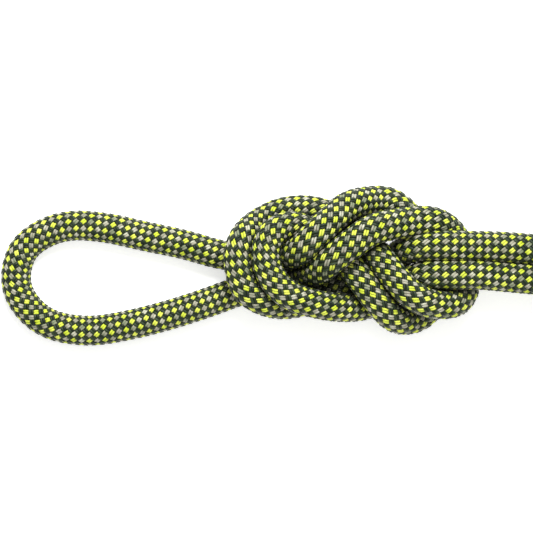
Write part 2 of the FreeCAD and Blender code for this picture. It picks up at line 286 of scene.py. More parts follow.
def fibre(name, tones, rough, sheen, streak=1.0, scale=5200.0, uv="yarn", bump=0.25, dark=None):
    """Twisted filament yarn: tone wanders along the yarn and fine filaments run along it. Its colour also carries
    painted
    shade from ambient occlusion: it is darker in crevices and at its edges, where it dips under the next yarn."""
    m = bpy.data.materials.new(name)
    m.use_nodes = True
    nt = m.node_tree
    n, k = nt.nodes, nt.links
    p = n["Principled BSDF"]
    p.inputs["Roughness"].default_value = rough
    p.inputs["Sheen Weight"].default_value = sheen
    p.inputs["Sheen Roughness"].default_value = 0.4
    p.inputs["Specular IOR Level"].default_value = 0.35
    geo = n.new("ShaderNodeTexCoord")
    wander = n.new("ShaderNodeTexNoise")
    wander.inputs["Scale"].default_value = 260.0
    wander.inputs["Detail"].default_value = 2.0
    k.new(geo.outputs["Object"], wander.inputs["Vector"])
    ramp = n.new("ShaderNodeValToRGB")
    ramp.color_ramp.elements[0].position, ramp.color_ramp.elements[1].position = 0.36, 0.64
    ramp.color_ramp.elements[0].color = colour(tones[0])
    ramp.color_ramp.elements[1].color = colour(tones[-1])
    if len(tones) == 3:
        ramp.color_ramp.elements.new(0.5).color = colour(tones[1])
    k.new(wander.outputs["Fac"], ramp.inputs["Fac"])
    layer = n.new("ShaderNodeUVMap")
    layer.uv_map = uv
    stretch = n.new("ShaderNodeMapping")
    stretch.inputs["Scale"].default_value = (9.0, 900.0, 1.0)
    stretch.inputs["Rotation"].default_value = (0, 0, 0.25)
    k.new(layer.outputs["UV"], stretch.inputs["Vector"])
    fil = n.new("ShaderNodeTexNoise")
    fil.inputs["Scale"].default_value = 1.0
    fil.inputs["Detail"].default_value = 3.0
    k.new(stretch.outputs["Vector"], fil.inputs["Vector"])
    strands = n.new("ShaderNodeValToRGB")
    strands.color_ramp.elements[0].position, strands.color_ramp.elements[1].position = 0.3, 0.62
    strands.color_ramp.elements[0].color = (1 - 0.35 * streak,) * 3 + (1,)
    strands.color_ramp.elements[1].color = (1, 1, 1, 1)
    k.new(fil.outputs["Fac"], strands.inputs["Fac"])
    mix = n.new("ShaderNodeMix")
    mix.data_type, mix.blend_type = "RGBA", "MULTIPLY"
    mix.inputs["Factor"].default_value = 1.0
    k.new(ramp.outputs["Color"], mix.inputs["A"])
    k.new(strands.outputs["Color"], mix.inputs["B"])
    # darkens the crevices more than the lights alone do, to match how dark the hollows of the knot look in the photo
    crevice_occlusion = n.new("ShaderNodeAmbientOcclusion")
    crevice_occlusion.samples = 6
    crevice_occlusion.inputs["Distance"].default_value = 0.011
    # painted shade: the occlusion becomes a dark greenish multiplier on the base colour
    painted_shade_ramp = n.new("ShaderNodeValToRGB")
    painted_shade_ramp.color_ramp.elements[0].position, painted_shade_ramp.color_ramp.elements[1].position = 0.05, 0.62
    painted_shade_ramp.color_ramp.elements[0].color = (0.10, 0.11, 0.08, 1)
    painted_shade_ramp.color_ramp.elements[1].color = (1, 1, 1, 1)
    k.new(crevice_occlusion.outputs["AO"], painted_shade_ramp.inputs["Fac"])
    shade = n.new("ShaderNodeMix")
    shade.data_type, shade.blend_type = "RGBA", "MULTIPLY"
    shade.inputs["Factor"].default_value = 1.0
    k.new(mix.outputs["Result"], shade.inputs["A"])
    k.new(painted_shade_ramp.outputs["Color"], shade.inputs["B"])
    k.new(shade.outputs["Result"], p.inputs["Base Color"])
    b = n.new("ShaderNodeBump")
    b.inputs["Strength"].default_value = bump
    b.inputs["Distance"].default_value = 0.00006
    k.new(fil.outputs["Fac"], b.inputs["Height"])
    k.new(b.outputs["Normal"], p.inputs["Normal"])
    return m


NEON = fibre("yarn_neon", ((0.70, 0.83, 0.045), (0.93, 1.0, 0.14)), 0.5, 0.10, 0.45)
GREY = fibre("yarn_grey", ((0.28, 0.32, 0.19), (0.45, 0.43, 0.32), (0.68, 0.68, 0.52)), 0.5, 0.12, 0.7)
DARK = fibre("yarn_dark", ((0.006, 0.016, 0.005), (0.021, 0.035, 0.012)), 0.5, 0.04, 0.8)
SLATE = fibre("yarn_slate", ((0.014, 0.032, 0.012), (0.045, 0.071, 0.030)), 0.45, 0.04, 0.8)
# painted shade: a near-black tube under the yarns, seen only in the gaps between them, stands in for their shade
GAP_SHADE_TUBE = fibre("painted_gap_shade", ((0.006, 0.009, 0.006), (0.014, 0.018, 0.012)), 0.8, 0.0, 0.5)


def woven(name, tones, rough, across, along, uv="yarn", bump=0.5):
    """Webbing: fine ribs across the band."""
    m = bpy.data.materials.new(name)
    m.use_nodes = True
    nt = m.node_tree
    n, k = nt.nodes, nt.links
    p = n["Principled BSDF"]
    p.inputs["Roughness"].default_value = rough
    p.inputs["Sheen Weight"].default_value = 0.2
    layer = n.new("ShaderNodeUVMap")
    layer.uv_map = uv
    sep = n.new("ShaderNodeSeparateXYZ")
    k.new(layer.outputs["UV"], sep.inputs[0])
    waves = []
    for out, f in (("X", across), ("Y", along)):
        mul = n.new("ShaderNodeMath")
        mul.operation = "MULTIPLY"
        mul.inputs[1].default_value = f * 2 * math.pi
        k.new(sep.outputs[out], mul.inputs[0])
        s = n.new("ShaderNodeMath")
        s.operation = "SINE"
        k.new(mul.outputs[0], s.inputs[0])
        waves.append(s)
    prod = n.new("ShaderNodeMath")
    prod.operation = "MULTIPLY_ADD"
    k.new(waves[0].outputs[0], prod.inputs[0])
    k.new(waves[1].outputs[0], prod.inputs[1])
    prod.inputs[2].default_value = 0.5
    ramp = n.new("ShaderNodeValToRGB")
    ramp.color_ramp.elements[0].color = colour(tones[0])
    ramp.color_ramp.elements[1].color = colour(tones[1])
    k.new(prod.outputs[0], ramp.inputs["Fac"])
    k.new(ramp.outputs["Color"], p.inputs["Base Color"])
    b = n.new("ShaderNodeBump")
    b.inputs["Strength"].default_value = bump
    b.inputs["Distance"].default_value = 0.0002
    k.new(prod.outputs[0], b.inputs["Height"])
    k.new(b.outputs["Normal"], p.inputs["Normal"])
    return m


def speckled(name, tones, rough, scale=900.0, coat=0.0, bump=0.2):
    """Moulded or melted plastic: slight mottling and a fine uneven surface."""
    m = bpy.data.materials.new(name)
    m.use_nodes = True
    nt = m.node_tree
    n, k = nt.nodes, nt.links
    p = n["Principled BSDF"]
    p.inputs["Roughness"].default_value = rough
    p.inputs["Coat Weight"].default_value = coat
    c = n.new("ShaderNodeTexCoord")
    t = n.new("ShaderNodeTexNoise")
    t.inputs["Scale"].default_value = scale
    t.inputs["Detail"].default_value = 4.0
    k.new(c.outputs["Object"], t.inputs["Vector"])
    ramp = n.new("ShaderNodeValToRGB")
    ramp.color_ramp.elements[0].position, ramp.color_ramp.elements[1].position = 0.35, 0.65
    ramp.color_ramp.elements[0].color = colour(tones[0])
    ramp.color_ramp.elements[1].color = colour(tones[1])
    k.new(t.outputs["Fac"], ramp.inputs["Fac"])
    k.new(ramp.outputs["Color"], p.inputs["Base Color"])
    b = n.new("ShaderNodeBump")
    b.inputs["Strength"].default_value = bump
    b.inputs["Distance"].default_value = 0.0002
    k.new(t.outputs["Fac"], b.inputs["Height"])
    k.new(b.outputs["Normal"], p.inputs["Normal"])
    return m


SLEEVE = speckled("shrunk_sleeve", ((0.010, 0.011, 0.012), (0.022, 0.023, 0.025)), 0.38, 500.0)
MELT = speckled("fused_end", ((0.016, 0.02, 0.012), (0.07, 0.08, 0.03)), 0.28, 700.0, 0.3, 0.5)
WEBBING = woven("webbing", ((0.010, 0.010, 0.011), (0.045, 0.046, 0.05)), 0.65, 900.0, 900.0)
HOOK = speckled("hook_fastener", ((0.008, 0.008, 0.009), (0.035, 0.035, 0.04)), 0.8, 2600.0, 0.0, 1.0)
CORE = fibre("core_strand", ((0.70, 0.69, 0.64), (0.86, 0.85, 0.80)), 0.6, 0.1, 0.6)
TRACER = speckled("tracer_yarn", ((0.42, 0.06, 0.03), (0.6, 0.12, 0.06)), 0.6, 1500.0)


# ------------------------------------------------------------------ the rope's line
curve = bpy.data.curves.new("rope_line", "CURVE")
curve.dimensions = "3D"
curve.resolution_u = 16
spline = curve.splines.new("NURBS")
spline.points.add(len(LINE) - 1)
for q, xyz in zip(spline.points, LINE):
    q.co = (*xyz, 1.0)
spline.order_u = 3
spline.use_endpoint_u = True
line_obj = bpy.data.objects.new("rope_line", curve)
bpy.context.scene.collection.objects.link(line_obj)
bpy.context.view_layer.update()
line_mesh = bpy.data.meshes.new_from_object(line_obj)
PATH = np.empty(len(line_mesh.vertices) * 3)
line_mesh.vertices.foreach_get("co", PATH)
PATH = PATH.reshape(-1, 3)
keep = np.r_[True, np.linalg.norm(np.diff(PATH, axis=0), axis=1) > 1e-7]
PATH = PATH[keep]
bpy.data.objects.remove(line_obj)
bpy.data.meshes.remove(line_mesh)

STEP = np.linalg.norm(np.diff(PATH, axis=0), axis=1)
ARC = np.r_[0.0, np.cumsum(STEP)]
LENGTH = float(ARC[-1])

TAN = np.gradient(PATH, ARC, axis=0)
TAN /= np.linalg.norm(TAN, axis=1)[:, None]
NOR = np.empty_like(PATH)
v = np.cross((0.0, 0.0, 1.0), TAN[0])
NOR[0] = v / np.linalg.norm(v)
for i in range(1, len(PATH)):
    v = NOR[i - 1] - TAN[i] * float(NOR[i - 1] @ TAN[i])
    NOR[i] = v / math.sqrt(float(v @ v))


def at(s):
    """Position and cross-section directions at lengths s along the rope."""
    s = np.asarray(s, float)
    i = np.clip(np.searchsorted(ARC, s, "right") - 1, 0, len(ARC) - 2)
    f = ((s - ARC[i]) / (ARC[i + 1] - ARC[i]))[..., None]
    p = PATH[i] * (1 - f) + PATH[i + 1] * f
    t = TAN[i] * (1 - f) + TAN[i + 1] * f
    t /= np.linalg.norm(t, axis=-1, keepdims=True)
    n = NOR[i] * (1 - f) + NOR[i + 1] * f
    n -= t * (n * t).sum(-1, keepdims=True)
    n /= np.linalg.norm(n, axis=-1, keepdims=True)
    return p, t, n, np.cross(t, n)


def nearest(point, lo=0.0, hi=None):
    """Length along the rope nearest to a point, looked for between lengths lo and hi."""
    a, b = np.searchsorted(ARC, [lo, LENGTH if hi is None else hi])
    b = max(b, a + 1)
    return float(ARC[a + np.argmin(np.linalg.norm(PATH[a:b] - np.asarray(point), axis=1))])


def middle(a, b):
    return [(p + q) / 2 for p, q in zip(LINE[a], LINE[b])]


CUTS = (10, 42, 55, 89)
N_ROUTE = len(ROUTE)
S_ROUTE = nearest(middle(N_ROUTE - 1, N_ROUTE), 0.8, 1.3)
S_A = nearest(middle(CUTS[0], CUTS[0] + 1), 0.05, 0.25)
S_B = S_C = S_D = 0.0
walk = np.cumsum([0.0] + [math.dist(p, q) for p, q in zip(LINE[:N_ROUTE], LINE[1:N_ROUTE])])
walk *= S_ROUTE / walk[-1]
S_A, S_B, S_C, S_D = (nearest(middle(c, c + 1), walk[c] - 0.02, walk[c + 1] + 0.02) for c in CUTS)
FAR_TOP = len(LINE) - 6
S_RISE = nearest(LINE[len(LINE) - len(FAR)], LENGTH - 0.3)
# the braid lies longer where the knot stretches it
GAIT = np.array([[0.0, 0.0328], [S_B - 0.02, 0.0328], [S_B + 0.02, 0.0298], [S_C - 0.02, 0.0298], [S_C + 0.02, 0.0328], [S_D, 0.0328],
                 [S_ROUTE + 0.1, LEAD], [LENGTH, LEAD]])
QS = np.arange(0.0, LENGTH + 0.002, 0.001)
QV = np.r_[0.0, np.cumsum(0.001 * CARRIERS / np.interp(QS[:-1] + 0.0005, GAIT[:, 0], GAIT[:, 1]))]


def picks_at(s):
    """How many rows of picks there are up to lengths s."""
    return np.interp(s, QS, QV)


print("rope length %.3f m, route %.3f m, cuts %.3f %.3f %.3f %.3f, far end from %.3f"
      % (LENGTH, S_ROUTE, S_A, S_B, S_C, S_D, S_RISE))
past = ARC > S_ROUTE
turned = np.unwrap(np.arctan2(PATH[past, 1] - CY / 1000, PATH[past, 0] - CX / 1000))
turned = np.degrees(turned)
turned += 360.0 * round((232.0 - turned[0]) / 360.0)


def length_at(angle):
    return float(np.interp(angle, turned, ARC[past]))


def grid(m, sides):
    """Quads of a tube of m rings, with how far round and which ring each corner is."""
    i, j = np.meshgrid(np.arange(m - 1), np.arange(sides), indexing="ij")
    k = (j + 1) % sides
    faces = np.stack([i * sides + j, i * sides + k, (i + 1) * sides + k, (i + 1) * sides + j], -1).reshape(-1, 4)
    across = np.stack([j, j + 1, j + 1, j], -1).reshape(-1, 4) / sides
    along = np.stack([i, i, i + 1, i + 1], -1).reshape(-1, 4)
    return faces, across, along


def build(name, verts, faces, mats, index=None, uv=None, smooth=True):
    """A mesh object from arrays: faces all have the same number of corners, uv is per corner."""
    me = bpy.data.meshes.new(name)
    faces = np.asarray(faces, np.int32)
    k = faces.shape[1]
    me.vertices.add(len(verts))
    me.vertices.foreach_set("co", np.ascontiguousarray(verts, np.float32).ravel())
    me.loops.add(faces.size)
    me.loops.foreach_set("vertex_index", faces.ravel())
    me.polygons.add(len(faces))
    me.polygons.foreach_set("loop_start", np.arange(0, faces.size, k, dtype=np.int32))
    me.polygons.foreach_set("loop_total", np.full(len(faces), k, np.int32))
    for m in mats:
        me.materials.append(m)
    if index is not None:
        me.polygons.foreach_set("material_index", np.ascontiguousarray(index, np.int32))
    me.polygons.foreach_set("use_smooth", np.full(len(faces), smooth))
    if uv is not None:
        layer = me.uv_layers.new(name="yarn")
        layer.data.foreach_set("uv", np.ascontiguousarray(uv, np.float32).ravel())
    me.update(calc_edges=True)
    me.validate()
    o = bpy.data.objects.new(name, me)
    bpy.context.scene.collection.objects.link(o)
    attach(o, BODY)
    return o


def revolve(name, profile, sides, mats, closed=True, turn=0.0, rough=None, seed=3):
    """A ring or button on the rope: profile is (length along the rope, radius) from one side to the other. A closed
    profile is a ring; an open one starts and ends on the rope's centre."""
    s = np.array([q[0] for q in profile])
    r = np.array([q[1] for q in profile])
    p, t, n, b = at(s)
    a = np.arange(sides) * 2 * math.pi / sides + turn
    rr = np.broadcast_to(r[:, None], (len(s), sides)).copy()
    if rough is not None:
        rr += rough(s[:, None], a[None, :]) * (rr > 1e-5)
    v = p[:, None] + (n[:, None] * np.cos(a)[None, :, None] + b[:, None] * np.sin(a)[None, :, None]) * rr[..., None]
    f, across, along = grid(len(s), sides)
    run = np.r_[0.0, np.cumsum(np.hypot(np.diff(s), np.diff(r)))]
    uv = np.stack([across, run[along]], -1)
    v = v.reshape(-1, 3)
    if closed:
        last = (len(s) - 1) * sides
        j = np.arange(sides)
        k = (j + 1) % sides
        f = np.vstack([f, np.stack([last + j, last + k, k, j], -1)])
        uv = np.concatenate([uv, np.stack([np.stack([j, j + 1, j + 1, j], -1) / sides,
                                           np.full((sides, 4), run[-1])], -1)])
    o = build(name, v, f, mats, uv=uv)
    if not closed:
        import bmesh
        bm = bmesh.new()
        bm.from_mesh(o.data)
        bmesh.ops.remove_doubles(bm, verts=bm.verts, dist=2e-6)
        bm.to_mesh(o.data)
        bm.free()
    return o


# ------------------------------------------------------------------ the rope itself
def braid_paint():
    """Sheath of the buried turns, which only show between the others: the same diamonds, as colour."""
    m = bpy.data.materials.new("braided_sheath")
    m.use_nodes = True
    nt = m.node_tree
    n, k = nt.nodes, nt.links
    p = n["Principled BSDF"]
    p.inputs["Roughness"].default_value = 0.6
    p.inputs["Sheen Weight"].default_value = 0.1
    layer = n.new("ShaderNodeUVMap")
    layer.uv_map = "yarn"
    sep = n.new("ShaderNodeSeparateXYZ")
    k.new(layer.outputs["UV"], sep.inputs[0])

    def maths(op, a, b=None, c=None):
        q = n.new("ShaderNodeMath")
        q.operation = op
        for i, x in enumerate((a, b, c)):
            if x is None:
                continue
            if isinstance(x, (int, float)):
                q.inputs[i].default_value = x
            else:
                k.new(x, q.inputs[i])
        return q.outputs[0]

    around = maths("MULTIPLY", sep.outputs["X"], float(CARRIERS))
    along = sep.outputs["Y"]
    a = maths("FLOOR", maths("ADD", maths("ADD", around, along), 0.5))
    b = maths("FLOOR", maths("ADD", maths("SUBTRACT", around, along), 0.5))
    over = maths("FLOORED_MODULO", maths("ADD", a, b), 2.0)
    kind = maths("FLOORED_MODULO", a, 2.0)
    noise = n.new("ShaderNodeTexNoise")
    noise.inputs["Scale"].default_value = 300.0
    first = n.new("ShaderNodeMix")
    first.data_type = "RGBA"
    first.inputs["A"].default_value = colour(NEON_TONE)
    first.inputs["B"].default_value = colour(GREY_TONE)
    k.new(kind, first.inputs["Factor"])
    second = n.new("ShaderNodeMix")
    second.data_type = "RGBA"
    k.new(first.outputs["Result"], second.inputs["A"])
    second.inputs["B"].default_value = colour(DARK_TONE)
    k.new(over, second.inputs["Factor"])
    third = n.new("ShaderNodeMix")
    third.data_type, third.blend_type = "RGBA", "MULTIPLY"
    third.inputs["Factor"].default_value = 0.5
    k.new(second.outputs["Result"], third.inputs["A"])
    k.new(noise.outputs["Fac"], third.inputs["B"])
    k.new(third.outputs["Result"], p.inputs["Base Color"])
    bump = n.new("ShaderNodeBump")
    bump.inputs["Strength"].default_value = 0.4
    bump.inputs["Distance"].default_value = 0.0003
    k.new(over, bump.inputs["Height"])
    k.new(bump.outputs["Normal"], p.inputs["Normal"])
    return m


NEON_TONE, GREY_TONE, DARK_TONE = (0.62, 0.78, 0.06), (0.45, 0.42, 0.35), (0.03, 0.045, 0.04)
BRAID = braid_paint()

# which turns show: the top layer, and the outermost and innermost turn of every other layer
COUNTS = [7, 6, 7, 6, 7, 6, 7]
shown = []
n0 = 0
for k, count in enumerate(COUNTS):
    for t in range(count):
        n = n0 + t
        if n < 45 and (k == 6 or t == 0 or t == count - 1):
            shown.append(n)
    n0 += count
SPANS = []
for n in shown:
    a, b = length_at(230.0 + 360.0 * n - 12.0), length_at(230.0 + 360.0 * (n + 1) + 12.0)
    if n == 0:
        a = S_ROUTE - 0.004
    if SPANS and a < SPANS[-1][1] + 0.03:
        SPANS[-1][1] = b
    else:
        SPANS.append([a, b])
S_BRAID_END = length_at(230.0 + 360.0 * 45 - 25.0)      # real yarns again from here to the far end
SPANS[-1][1] = S_BRAID_END + 0.002


def inside(s):
    return any(a + 0.003 < s < b - 0.003 for a, b in SPANS)


rings = [0.0]
while rings[-1] < LENGTH - 1e-9:
    s = rings[-1]
    fine = s < S_ROUTE + 0.01 or s > S_BRAID_END - 0.01
    rings.append(min(LENGTH, s + (0.0016 if fine else 0.0075)))
rings = np.array(rings)
R_UNDER, R_SKIN, R_HIDDEN = 0.00405, 0.00425, 0.00485
radius = np.full(len(rings), R_HIDDEN)
radius[[inside(s) for s in rings]] = R_SKIN
under = (rings < S_ROUTE) | (rings > S_BRAID_END)
radius[under] = R_UNDER
SIDES = 14
p, t, n, b = at(rings)
a = np.arange(SIDES) * 2 * math.pi / SIDES
v = p[:, None] + (n[:, None] * np.cos(a)[None, :, None] + b[:, None] * np.sin(a)[None, :, None]) * radius[:, None, None]
v = v.reshape(-1, 3)
f, across, along = grid(len(rings), SIDES)
uv = np.stack([across, picks_at(rings)[along]], -1)
first, last, top = len(v), len(v) + 1, (len(rings) - 1) * SIDES
v = np.vstack([v, p[0], p[-1]])
ends = []
for j in range(0, SIDES, 2):
    ends.append((first, (j + 2) % SIDES, j + 1, j))
    ends.append((last, top + j, top + j + 1, top + (j + 2) % SIDES))
# buried turns take the painted weave; every other face takes the near-black painted shade under the yarns
index = np.where((radius[along[:, 0]] == R_HIDDEN) | (radius[along[:, 2]] == R_HIDDEN), 1, 0)
index = np.r_[index, np.zeros(len(ends), int)]
f = np.vstack([f, ends])
uv = np.concatenate([uv, np.zeros((len(ends), 4, 2))])
rope = build("rope", v, f, [GAP_SHADE_TUBE, BRAID], index, uv)
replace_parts(rope, "rope_coil")

# ------------------------------------------------------------------ the braid of every uncoiled stretch
HALF_W, HALF_T = (0.00040, 0.00046), 0.0003
WAVE = 0.00028
SPREAD = (0.00036, 0.00043)     # from a carrier's middle to the middle of either of its two yarns, coloured and dark


def braid(name, s0, s1, slack=None):
    """Twenty four carriers of two yarns, over one and under one. Half of them wind to the left, neon and grey in turn,
    and half to the right, dark."""
    m = int(round((s1 - s0) / (PITCH / 6))) + 1
    s = np.linspace(s0, s1, m)
    p, t, n, b = at(s)
    press = np.zeros(m) if slack is None else np.interp(s, slack[0], slack[1])
    verts, index, uvs, faces = [], [], [], []
    f0, across, along = grid(m, 6)
    caps = np.array([(0, 3, 2, 1), (0, 5, 4, 3)])
    top = (m - 1) * 6
    caps = np.vstack([caps, np.array([(0, 1, 2, 3), (0, 3, 4, 5)]) + top])
    theta = np.arange(6) * math.pi / 3
    rows = picks_at(s)
    count = 0
    for hand in (-1, 1):
        for c in range(CARRIERS):
            rng = np.random.default_rng(100 * hand + 200 + c)
            for side in (-1, 1):
                kind = c % 2 if hand < 0 else 2 + (side > 0)
                base = 0.00449 + (-0.00006 if hand < 0 else 0.00006) - press
                slope = math.atan(2 * math.pi * 0.0045 / LEAD)
                shift = side * SPREAD[hand > 0] / (0.0045 * math.cos(slope))
                late = -hand * shift * CARRIERS / (4 * math.pi)
                wave = np.cos(2 * math.pi * (rows - late)) * (1 if hand < 0 else -1)
                wave = np.sign(wave) * np.abs(wave) ** 0.8
                phi = (hand * rows + c) * 2 * math.pi / CARRIERS + shift
                drift = sum(rng.uniform(-1, 1) * np.sin(s * w + rng.uniform(0, 6.3)) for w in (260.0, 610.0, 1310.0))
                phi = phi + 0.0045 * drift
                r = base + WAVE * wave
                er = n * np.cos(phi)[:, None] + b * np.sin(phi)[:, None]
                ep = b * np.cos(phi)[:, None] - n * np.sin(phi)[:, None]
                d = t * math.cos(slope) + ep * (hand * math.sin(slope))
                w = np.cross(er, d)
                centre = p + er * r[:, None]
                fat = HALF_W[0 if hand < 0 else 1] * (1 + 0.07 * wave) * (1 - 0.04 * side * drift / 3)
                ring = (centre[:, None] + w[:, None] * (np.cos(theta)[None, :] * fat[:, None])[..., None]
                        + er[:, None] * (np.sin(theta) * HALF_T)[None, :, None])
                verts.append(ring.reshape(-1, 3))
                faces.append(np.vstack([f0, caps]) + count)
                uvs.append(np.concatenate([np.stack([across + 0.37 * c + 0.5 * side, s[along] * 1.35], -1),
                                           np.zeros((4, 4, 2))]))
                index.append(np.full(len(f0) + 4, kind))
                count += m * 6
    return build(name, np.concatenate(verts), np.concatenate(faces), [NEON, GREY, DARK, SLATE], np.concatenate(index),
                 np.concatenate(uvs))


# how much flatter the braid lies where strands press on each other, and how much fuller over the two upper bends
PS = np.arange(0.0, LENGTH, 0.002)
PV = np.interp(PS, [S_A + 0.01, S_A + 0.03, S_B - 0.01, S_B + 0.02, S_C - 0.02, S_C + 0.01, S_D - 0.04, S_D - 0.02],
               [0.0, 0.00014, 0.00014, 0.0, 0.0, 0.00014, 0.00014, 0.0])
for i, wide in ((35, 0.022), (61, 0.026)):
    PV -= 0.00035 * np.exp(-((PS - walk[i]) / wide) ** 2)
PV -= np.interp(PS, [0.060, 0.085, walk[12], walk[15]], [0.0, 0.00020, 0.00020, 0.0])
PV -= np.interp(PS, [walk[84], walk[87], S_ROUTE - 0.06, S_ROUTE - 0.02], [0.0, 0.00020, 0.00020, 0.0])
PV -= np.interp(PS, [0.045, 0.060, S_ROUTE - 0.04, S_ROUTE - 0.01], [0.0, 0.00006, 0.00006, 0.0])
PRESS = (PS, PV)
for name, a, b in (("tail", 0.0, S_A), ("knot_first_pass", S_A, S_B), ("bight", S_B, S_C),
                   ("knot_second_pass", S_C, S_D), ("standing", S_D, S_ROUTE + 0.0005), ("far_end", S_BRAID_END, LENGTH)):
    parts = max(1, math.ceil((b - a) / 0.145))
    for q in range(parts):
        o = braid("braid_" + name + ("_%d" % (q + 1) if parts > 1 else ""), a + (b - a) * q / parts,
                  a + (b - a) * (q + 1) / parts, PRESS)
        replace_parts(o, "sheath_" + name)


# ------------------------------------------------------------------ the woven skin of the turns that show
def skin(name, spans):
    """The same weave on the coil, one raised pick at each crossing."""
    verts, faces, index, uvs = [], [], [], []
    count = 0
    for s0, s1 in spans:
        k0, k1 = math.ceil(picks_at(s0)), math.floor(picks_at(s1))
        rows = np.arange(2 * k0, 2 * k1 + 1) / 2.0
        s = np.interp(rows, QV, QS)
        p, t, n, b = at(s)
        m = len(s)
        odd = (np.arange(m) + 2 * k0) % 2
        u = (np.arange(CARRIERS)[None, :] + np.where(odd[:, None] == 0, 0.5, 0.0)) * 2 * math.pi / CARRIERS
        edge = np.full(m, 0.00462)
        edge[[0, -1]] = 0.0041
        er = n[:, None] * np.cos(u)[..., None] + b[:, None] * np.sin(u)[..., None]
        corner = p[:, None] + er * edge[:, None, None]
        u2 = (np.arange(CARRIERS)[None, :] + np.where(odd[:, None] == 0, 0.0, 0.5)) * 2 * math.pi / CARRIERS
        er2 = n[:, None] * np.cos(u2)[..., None] + b[:, None] * np.sin(u2)[..., None]
        lift = np.where(odd == 0, 0.00492, 0.00484)
        lift[[0, -1]] = 0.0041
        pick = p[:, None] + er2 * lift[:, None, None]
        verts += [corner.reshape(-1, 3), pick.reshape(-1, 3)]
        i, j = np.meshgrid(np.arange(1, m - 1), np.arange(CARRIERS), indexing="ij")
        is_even = odd[i] == 0
        # corners beside a pick on its own row, and those on the rows before and after
        left = np.where(is_even, (j - 1) % CARRIERS, j)
        right = np.where(is_even, j, (j + 1) % CARRIERS)
        # a pick's row before and after has its corners at the pick's own angle
        same = j
        own = i * CARRIERS
        prev, nxt = (i - 1) * CARRIERS, (i + 1) * CARRIERS
        at_angle = same
        L, R = own + left, own + right
        A, B = prev + at_angle, nxt + at_angle
        C = m * CARRIERS + own + j
        tri = np.stack([np.stack([A, R, C], -1), np.stack([R, B, C], -1), np.stack([B, L, C], -1),
                        np.stack([L, A, C], -1)], 2)
        faces.append(tri.reshape(-1, 3) + count)
        carrier = (j + (rows[i]).astype(int)) % 2
        kind = np.where(is_even, carrier, 2)
        index.append(np.repeat(kind.ravel(), 4))
        # corner uv: how far across the pick, and how far along
        va, vo = 0.5, PITCH / 2 * 1.35
        mid = s[i] * 1.35
        cross = j * 0.37
        def q(du, dv):
            return np.stack([cross + du, mid + dv], -1)
        P = {"A": q(0.5, -vo), "B": q(0.5, vo), "L": q(0.0, 0), "R": q(1.0, 0), "C": q(0.5, 0)}
        tri_uv = np.stack([np.stack([P["A"], P["R"], P["C"]], 2), np.stack([P["R"], P["B"], P["C"]], 2),
                           np.stack([P["B"], P["L"], P["C"]], 2), np.stack([P["L"], P["A"], P["C"]], 2)], 2)
        uvs.append(tri_uv.reshape(-1, 3, 2))
        count += 2 * m * CARRIERS
    o = build(name, np.concatenate(verts), np.concatenate(faces), [NEON, GREY, DARK], np.concatenate(index),
              np.concatenate(uvs))
    import bmesh
    bm = bmesh.new()
    bm.from_mesh(o.data)
    loose = [q for q in bm.verts if not q.link_faces]
    bmesh.ops.delete(bm, geom=loose, context="VERTS")
    bm.to_mesh(o.data)
    bm.free()
    return o


total = sum(b - a for a, b in SPANS)
print("turns shown: %.2f m in %d stretches" % (total, len(SPANS)))
pieces_of = [[]]
room = 4.9
for a, b in SPANS:
    while b - a > 1e-6:
        take = min(b - a, room)
        if take > 0.05:
            pieces_of[-1].append((a, a + take))
        a += take
        room -= take
        if room < 0.06:
            pieces_of.append([])
            room = 4.9
            if b - a > 0.05:
                # the next piece starts one row back, so that whole rows meet
                a = float(np.interp(math.floor(picks_at(a)) - 1, QV, QS)) - 1e-6
for q, spans in enumerate([x for x in pieces_of if x]):
    o = skin("coil_turns_%d" % (q + 1), spans)
    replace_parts(o, "rope_coil")


# ------------------------------------------------------------------ end sleeves and fused ends
def imprint(s, a):
    """The braid shows through the shrunk sleeve as low diamonds."""
    w = 2 * math.pi / LEAD
    return 0.00005 * np.cos(CARRIERS * (a + w * s) / 2) * np.cos(CARRIERS * (a - w * s) / 2)


def melted(s, a):
    return 0.00012 * (np.sin(3 * a + 900 * s) + 0.6 * np.sin(5 * a - 1700 * s + 1.3) + 0.4 * np.sin(9 * a + 2.1))


TAIL_SLEEVE = 0.0374
for name, start, sign in (("tail", 0.0, 1.0), ("far", LENGTH, -1.0)):
    prof = []
    ins, out, lip = 0.00488, 0.00515, 0.0006
    for x in np.linspace(0.0004, TAIL_SLEEVE, 74):
        grow = min(1.0, (x - 0.0004) / lip, (TAIL_SLEEVE - x) / lip)
        prof.append((start + sign * x, ins + (out - ins) * math.sqrt(max(0.0, 1 - (1 - grow) ** 2))))
    for x in np.linspace(TAIL_SLEEVE, 0.0004, 12):
        prof.append((start + sign * x, ins - 0.00018))
    if sign < 0:
        prof = prof[::-1]
    o = revolve("shrunk_sleeve_" + name, prof, 48, [SLEEVE], rough=imprint)
    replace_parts(o, "end_sleeve_" + name)
    cap = [(start + sign * 0.0022, 0.0), (start + sign * 0.0022, 0.0018), (start + sign * 0.0021, 0.0033),
           (start + sign * 0.0019, 0.0043), (start + sign * 0.0014, 0.00478)]
    for q in np.linspace(0.1, 1.0, 16):
        ang = q * math.pi / 2
        cap.append((start - sign * (0.0002 + 0.0015 * math.sin(ang)), 0.0033 + 0.0015 * math.cos(ang)))
    for q in np.linspace(0.85, 0.0, 7):
        cap.append((start - sign * (0.0017 - 0.0002 * math.cos(q * 3.1)), 0.0033 * q))
    if sign > 0:
        cap = cap[::-1]
    o = revolve("melted_tip_" + name, cap, 40, [MELT], closed=False, rough=melted)
    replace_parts(o, "end_cap_" + name)


